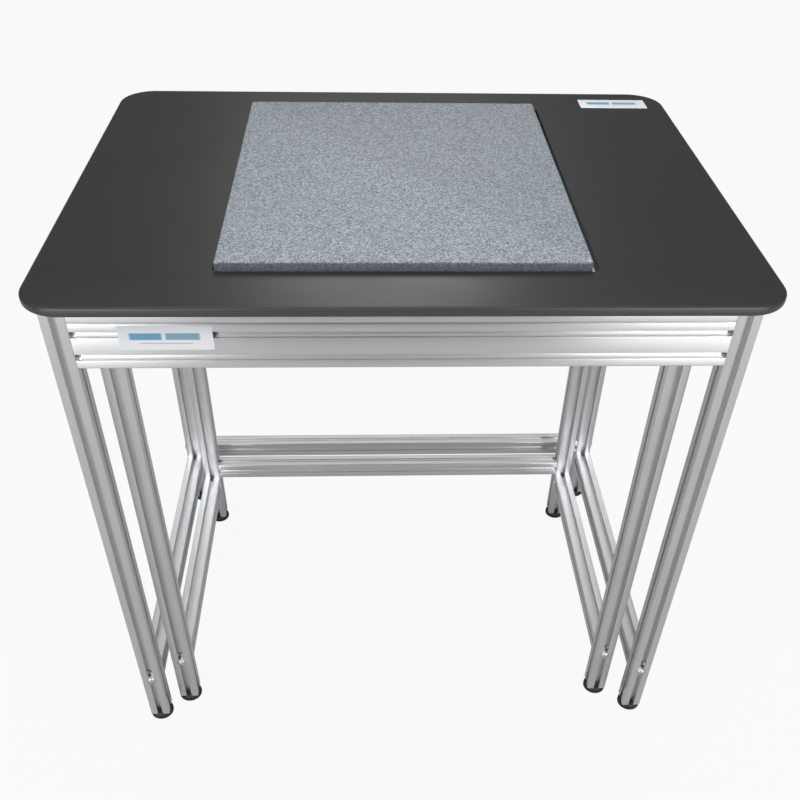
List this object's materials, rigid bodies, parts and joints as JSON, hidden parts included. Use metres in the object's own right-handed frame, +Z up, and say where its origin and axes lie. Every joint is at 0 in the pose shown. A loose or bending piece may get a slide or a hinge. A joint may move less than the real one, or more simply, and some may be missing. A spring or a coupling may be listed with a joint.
{
  "type": "weighing balance table",
  "caption": "weighing balance table: black laminate top around a loose grey granite slab, each on its own slotted aluminium frame with round rubber feet",
  "frame": {"origin": "on the floor under the middle of the tabletop", "axes": "+X to the right as the user stands at the apron, +Y to the back, +Z up"},
  "size_m": [0.85, 0.68, 0.81],
  "materials": {
    "laminate": "satin",
    "granite": "satin",
    "anodised_aluminium": "satin",
    "bright_aluminium": "satin",
    "black_rubber": "matte",
    "zinc_steel": "satin",
    "pad_rubber": "matte",
    "cap_plastic": "matte",
    "label_film": "satin"
  },
  "bodies": {
    "stand": {"stand_leg_front_left": "anodised_aluminium", "stand_leg_front_right": "anodised_aluminium", "stand_leg_rear_left": "anodised_aluminium", "stand_leg_rear_right": "anodised_aluminium", "stand_upper_rail_front": "anodised_aluminium", "stand_upper_rail_rear": "anodised_aluminium", "stand_low_rear_beam": "anodised_aluminium", "stand_upper_rail_left": "anodised_aluminium", "stand_upper_rail_right": "anodised_aluminium", "stand_low_rail_left": "anodised_aluminium", "stand_low_rail_right": "anodised_aluminium", "stand_beam_cover_strips": "bright_aluminium", "stand_rail_bolts": "zinc_steel", "stand_beam_bolts": "zinc_steel", "slab_pads": "pad_rubber", "stand_leg_caps": "cap_plastic"},
    "table": {"tabletop": "laminate", "table_leg_front_left": "anodised_aluminium", "table_leg_front_right": "anodised_aluminium", "table_leg_rear_left": "anodised_aluminium", "table_leg_rear_right": "anodised_aluminium", "front_apron": "anodised_aluminium", "front_upper_rail": "anodised_aluminium", "rear_upper_rail": "anodised_aluminium", "table_low_rear_beam": "anodised_aluminium", "table_upper_rail_left": "anodised_aluminium", "table_upper_rail_right": "anodised_aluminium", "table_low_rail_left": "anodised_aluminium", "table_low_rail_right": "anodised_aluminium", "apron_cover_strips": "bright_aluminium", "table_beam_cover_strips": "bright_aluminium", "table_rail_bolts": "zinc_steel", "table_beam_bolts": "zinc_steel", "tabletop_pads": "pad_rubber", "top_brackets": "zinc_steel", "corner_brackets": "zinc_steel", "joining_plates": "zinc_steel", "frame_screws": "zinc_steel", "top_screws": "zinc_steel", "slot_nuts": "zinc_steel", "front_label": "label_film", "top_label": "label_film"},
    "slab": {"granite_slab": "granite"},
    "table_foot_front_left": {"table_foot_front_left": "black_rubber", "table_stud_front_left": "zinc_steel"},
    "table_foot_front_right": {"table_foot_front_right": "black_rubber", "table_stud_front_right": "zinc_steel"},
    "table_foot_rear_left": {"table_foot_rear_left": "black_rubber", "table_stud_rear_left": "zinc_steel"},
    "table_foot_rear_right": {"table_foot_rear_right": "black_rubber", "table_stud_rear_right": "zinc_steel"},
    "stand_foot_front_left": {"stand_foot_front_left": "black_rubber", "stand_stud_front_left": "zinc_steel"},
    "stand_foot_front_right": {"stand_foot_front_right": "black_rubber", "stand_stud_front_right": "zinc_steel"},
    "stand_foot_rear_left": {"stand_foot_rear_left": "black_rubber", "stand_stud_rear_left": "zinc_steel"},
    "stand_foot_rear_right": {"stand_foot_rear_right": "black_rubber", "stand_stud_rear_right": "zinc_steel"}
  },
  "joints": [
    {"name": "table_lift", "type": "slide", "parent": "stand", "child": "table", "axis": [0, 0, 1], "range_m": [0, 0.85]},
    {"name": "slab_lift", "type": "slide", "parent": "stand", "child": "slab", "axis": [0, 0, 1], "range_m": [0, 0.1]},
    {"name": "table_foot_front_left_level", "type": "slide", "parent": "table", "child": "table_foot_front_left", "axis": [0, 0, -1], "range_m": [0, 0.01]},
    {"name": "table_foot_front_right_level", "type": "slide", "parent": "table", "child": "table_foot_front_right", "axis": [0, 0, -1], "range_m": [0, 0.01]},
    {"name": "table_foot_rear_left_level", "type": "slide", "parent": "table", "child": "table_foot_rear_left", "axis": [0, 0, -1], "range_m": [0, 0.01]},
    {"name": "table_foot_rear_right_level", "type": "slide", "parent": "table", "child": "table_foot_rear_right", "axis": [0, 0, -1], "range_m": [0, 0.01]},
    {"name": "stand_foot_front_left_level", "type": "slide", "parent": "stand", "child": "stand_foot_front_left", "axis": [0, 0, -1], "range_m": [0, 0.01]},
    {"name": "stand_foot_front_right_level", "type": "slide", "parent": "stand", "child": "stand_foot_front_right", "axis": [0, 0, -1], "range_m": [0, 0.01]},
    {"name": "stand_foot_rear_left_level", "type": "slide", "parent": "stand", "child": "stand_foot_rear_left", "axis": [0, 0, -1], "range_m": [0, 0.01]},
    {"name": "stand_foot_rear_right_level", "type": "slide", "parent": "stand", "child": "stand_foot_rear_right", "axis": [0, 0, -1], "range_m": [0, 0.01]}
  ]
}
